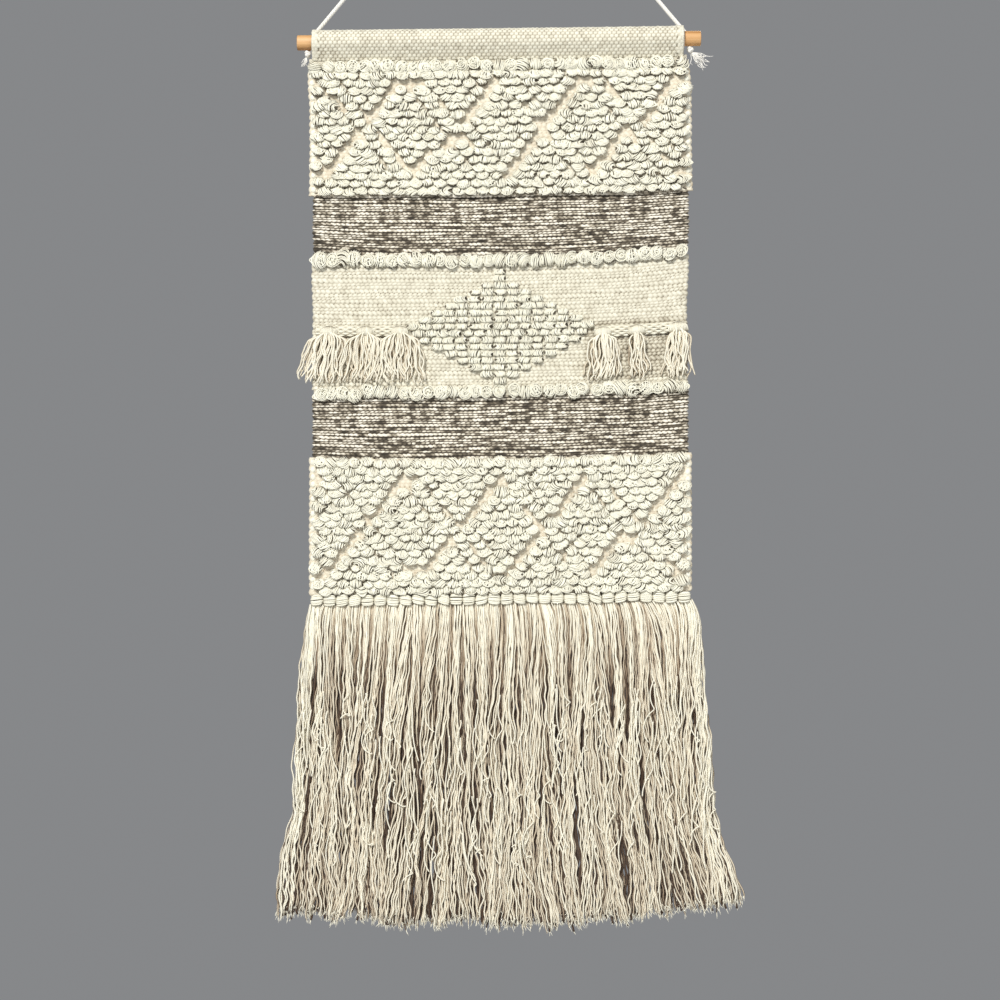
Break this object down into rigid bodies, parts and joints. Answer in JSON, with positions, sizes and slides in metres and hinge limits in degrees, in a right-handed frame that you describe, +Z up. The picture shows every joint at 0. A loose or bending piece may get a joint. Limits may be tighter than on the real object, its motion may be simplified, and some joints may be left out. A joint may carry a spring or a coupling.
{
  "type": "tapestry wall hanging",
  "caption": "Woven cotton wall hanging on a wooden dowel and cord, with diamond pile panels, streaky bands, hanging tassels and a long knotted fringe",
  "frame": {"origin": "the point on the wall where the nail carries the hanging loop", "axes": "+X to the right as seen from the front, +Y into the wall, +Z up; the front faces -Y"},
  "size_m": [0.4564, 0.0333, 1.1356],
  "materials": {
    "light_pine": "bare sanded light pine with fine straight grain",
    "cord_cotton": "off-white twisted cotton cord, matt",
    "cream_cotton": "natural cream cotton yarn, matt, woven, knotted and cut to tufts",
    "melange_yarn": "plain weave of charcoal-brown and ecru yarn in short horizontal streaks, matt"
  },
  "bodies": {
    "hanger": {"dowel": "light_pine", "hanging_cord_left": "cord_cotton", "hanging_cord_right": "cord_cotton", "hanging_loop": "cord_cotton", "hanging_loop_knot": "cord_cotton", "cord_turn_left": "cord_cotton", "cord_turn_right": "cord_cotton", "cord_knot_left": "cord_cotton", "cord_knot_right": "cord_cotton", "cord_tail_left": "cord_cotton", "cord_tail_right": "cord_cotton"},
    "upper_tapestry": {"rod_pocket": "cream_cotton", "top_loop_row": "cream_cotton", "upper_pile_ground": "cream_cotton", "upper_pile_diamond_left": "cream_cotton", "upper_pile_diamond_centre": "cream_cotton", "upper_pile_diamond_right": "cream_cotton", "upper_pile_side_left": "cream_cotton", "upper_pile_side_right": "cream_cotton", "upper_pile_top_row": "cream_cotton", "upper_pile_bottom_row": "cream_cotton", "upper_band_above_fold": "melange_yarn"},
    "centre_tapestry": {"upper_band_below_fold": "melange_yarn", "upper_loop_row": "cream_cotton", "centre_panel": "cream_cotton", "centre_diamond_pile": "cream_cotton", "float_bar_left": "cream_cotton", "float_bar_right": "cream_cotton", "lower_loop_row": "cream_cotton", "lower_band_above_fold": "melange_yarn"},
    "lower_tapestry": {"lower_band_below_fold": "melange_yarn", "lower_pile_ground": "cream_cotton", "lower_pile_diamond_left": "cream_cotton", "lower_pile_diamond_centre": "cream_cotton", "lower_pile_diamond_right": "cream_cotton", "lower_pile_side_left": "cream_cotton", "lower_pile_side_right": "cream_cotton", "lower_pile_top_row": "cream_cotton", "lower_pile_bottom_row": "cream_cotton", "fringe_knot_row": "cream_cotton"},
    "fringe": {"fringe_section_1": "cream_cotton", "fringe_section_2": "cream_cotton", "fringe_section_3": "cream_cotton", "fringe_section_4": "cream_cotton", "fringe_section_5": "cream_cotton", "fringe_section_6": "cream_cotton"},
    "tassel_left_outer": {"tassel_left_outer_head": "cream_cotton", "tassel_left_outer_skirt": "cream_cotton"},
    "tassel_left_middle": {"tassel_left_middle_head": "cream_cotton", "tassel_left_middle_skirt": "cream_cotton"},
    "tassel_left_inner": {"tassel_left_inner_head": "cream_cotton", "tassel_left_inner_skirt": "cream_cotton"},
    "tassel_right_inner": {"tassel_right_inner_head": "cream_cotton", "tassel_right_inner_skirt": "cream_cotton"},
    "tassel_right_middle": {"tassel_right_middle_head": "cream_cotton", "tassel_right_middle_skirt": "cream_cotton"},
    "tassel_right_outer": {"tassel_right_outer_head": "cream_cotton", "tassel_right_outer_skirt": "cream_cotton"}
  },
  "joints": [
    {"name": "tapestry_swing", "type": "hinge", "parent": "hanger", "child": "upper_tapestry", "pos_m": [0, -0.0185, -0.239], "axis": [-0.9999, 0, -0.011], "range_deg": [0, 60]},
    {"name": "upper_fold", "type": "hinge", "parent": "upper_tapestry", "child": "centre_tapestry", "pos_m": [0, -0.0185, -0.42325], "axis": [-0.9999, 0, -0.011], "range_deg": [0, 60]},
    {"name": "lower_fold", "type": "hinge", "parent": "centre_tapestry", "child": "lower_tapestry", "pos_m": [0, -0.0185, -0.6275], "axis": [-0.9999, 0, -0.011], "range_deg": [0, 60]},
    {"name": "fringe_swing", "type": "hinge", "parent": "lower_tapestry", "child": "fringe", "pos_m": [0, -0.0185, -0.8078], "axis": [-0.9999, 0, -0.011], "range_deg": [0, 60]},
    {"name": "tassel_left_outer_swing", "type": "hinge", "parent": "centre_tapestry", "child": "tassel_left_outer", "pos_m": [-0.171, -0.02985, -0.53088], "axis": [-1, 0, 0], "range_deg": [0, 90]},
    {"name": "tassel_left_middle_swing", "type": "hinge", "parent": "centre_tapestry", "child": "tassel_left_middle", "pos_m": [-0.134, -0.02985, -0.53047], "axis": [-1, 0, 0], "range_deg": [0, 90]},
    {"name": "tassel_left_inner_swing", "type": "hinge", "parent": "centre_tapestry", "child": "tassel_left_inner", "pos_m": [-0.1, -0.02985, -0.5301], "axis": [-1, 0, 0], "range_deg": [0, 90]},
    {"name": "tassel_right_inner_swing", "type": "hinge", "parent": "centre_tapestry", "child": "tassel_right_inner", "pos_m": [0.103, -0.02985, -0.52787], "axis": [-1, 0, 0], "range_deg": [0, 90]},
    {"name": "tassel_right_middle_swing", "type": "hinge", "parent": "centre_tapestry", "child": "tassel_right_middle", "pos_m": [0.137, -0.02985, -0.52749], "axis": [-1, 0, 0], "range_deg": [0, 90]},
    {"name": "tassel_right_outer_swing", "type": "hinge", "parent": "centre_tapestry", "child": "tassel_right_outer", "pos_m": [0.178, -0.02985, -0.52704], "axis": [-1, 0, 0], "range_deg": [0, 90]}
  ]
}
